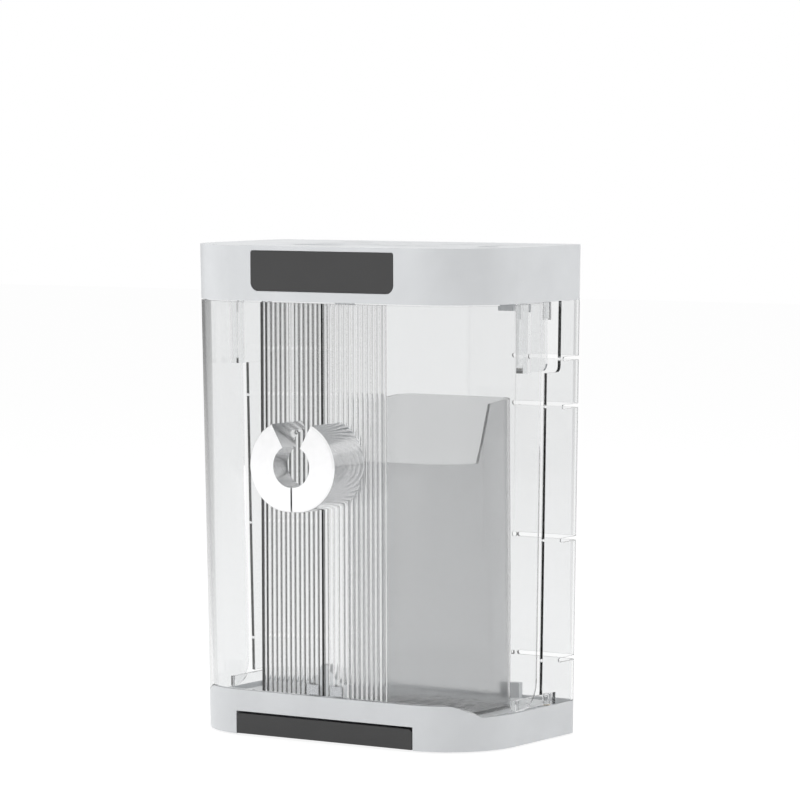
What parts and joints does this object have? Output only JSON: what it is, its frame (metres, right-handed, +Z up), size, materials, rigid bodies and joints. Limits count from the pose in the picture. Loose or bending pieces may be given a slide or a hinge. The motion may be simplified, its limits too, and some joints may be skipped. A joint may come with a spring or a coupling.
{
  "type": "knife and chopstick holder",
  "caption": "Upright clear kitchen holder with a slotted knife deck, two wrap-round hinged doors with a split ring handle, an inner chopstick cup and a slide-out drip tray.",
  "frame": {"origin": "centre of the footprint on the table", "axes": "+Z up, the doors and tray face -Y, +X to the right as seen from the front"},
  "size_m": [0.256, 0.17, 0.34],
  "materials": {
    "light_plastic": "fine satin moulded plastic",
    "deck_plastic": "satin moulded plastic",
    "white_plastic": "satin moulded plastic",
    "dark_plastic": "fine matt moulded plastic",
    "clear_plastic": "clear polished plastic",
    "smoke_plastic": "grey translucent plastic",
    "chrome": "polished chrome",
    "steel": "bright steel",
    "brass": "turned brass",
    "magnet": "nickel-plated magnet",
    "rubber": "matt rubber"
  },
  "bodies": {
    "cabinet": {"base_shell": "light_plastic", "drain_grid": "white_plastic", "rubber_feet": "rubber", "door_catch": "white_plastic", "catch_magnets": "magnet", "rear_shell": "clear_plastic", "shell_screws": "steel", "top_cap": "light_plastic", "knife_deck": "deck_plastic", "slot_sleeves": "deck_plastic", "deck_screws": "steel", "cap_fascia": "dark_plastic", "chopstick_cup": "smoke_plastic", "hinge_bushes": "brass"},
    "right_door": {"right_door": "clear_plastic", "right_handle": "chrome", "right_handle_screws": "steel", "right_strike": "steel", "right_hinge_pins": "clear_plastic"},
    "left_door": {"left_door": "clear_plastic", "left_handle": "chrome", "left_handle_screws": "steel", "left_strike": "steel", "left_hinge_pins": "clear_plastic"},
    "tray": {"drip_tray": "light_plastic", "tray_front": "dark_plastic", "tray_screws": "steel"}
  },
  "joints": [
    {"name": "right_door_hinge", "type": "hinge", "parent": "cabinet", "child": "right_door", "pos_m": [0.1175, 0.0505, 0.17], "axis": [0, 0, 1], "range_deg": [0, 95]},
    {"name": "left_door_hinge", "type": "hinge", "parent": "cabinet", "child": "left_door", "pos_m": [-0.1175, 0.0505, 0.17], "axis": [0, 0, -1], "range_deg": [0, 95]},
    {"name": "tray_slide", "type": "slide", "parent": "cabinet", "child": "tray", "axis": [0, -1, 0], "range_m": [0, 0.09]}
  ]
}
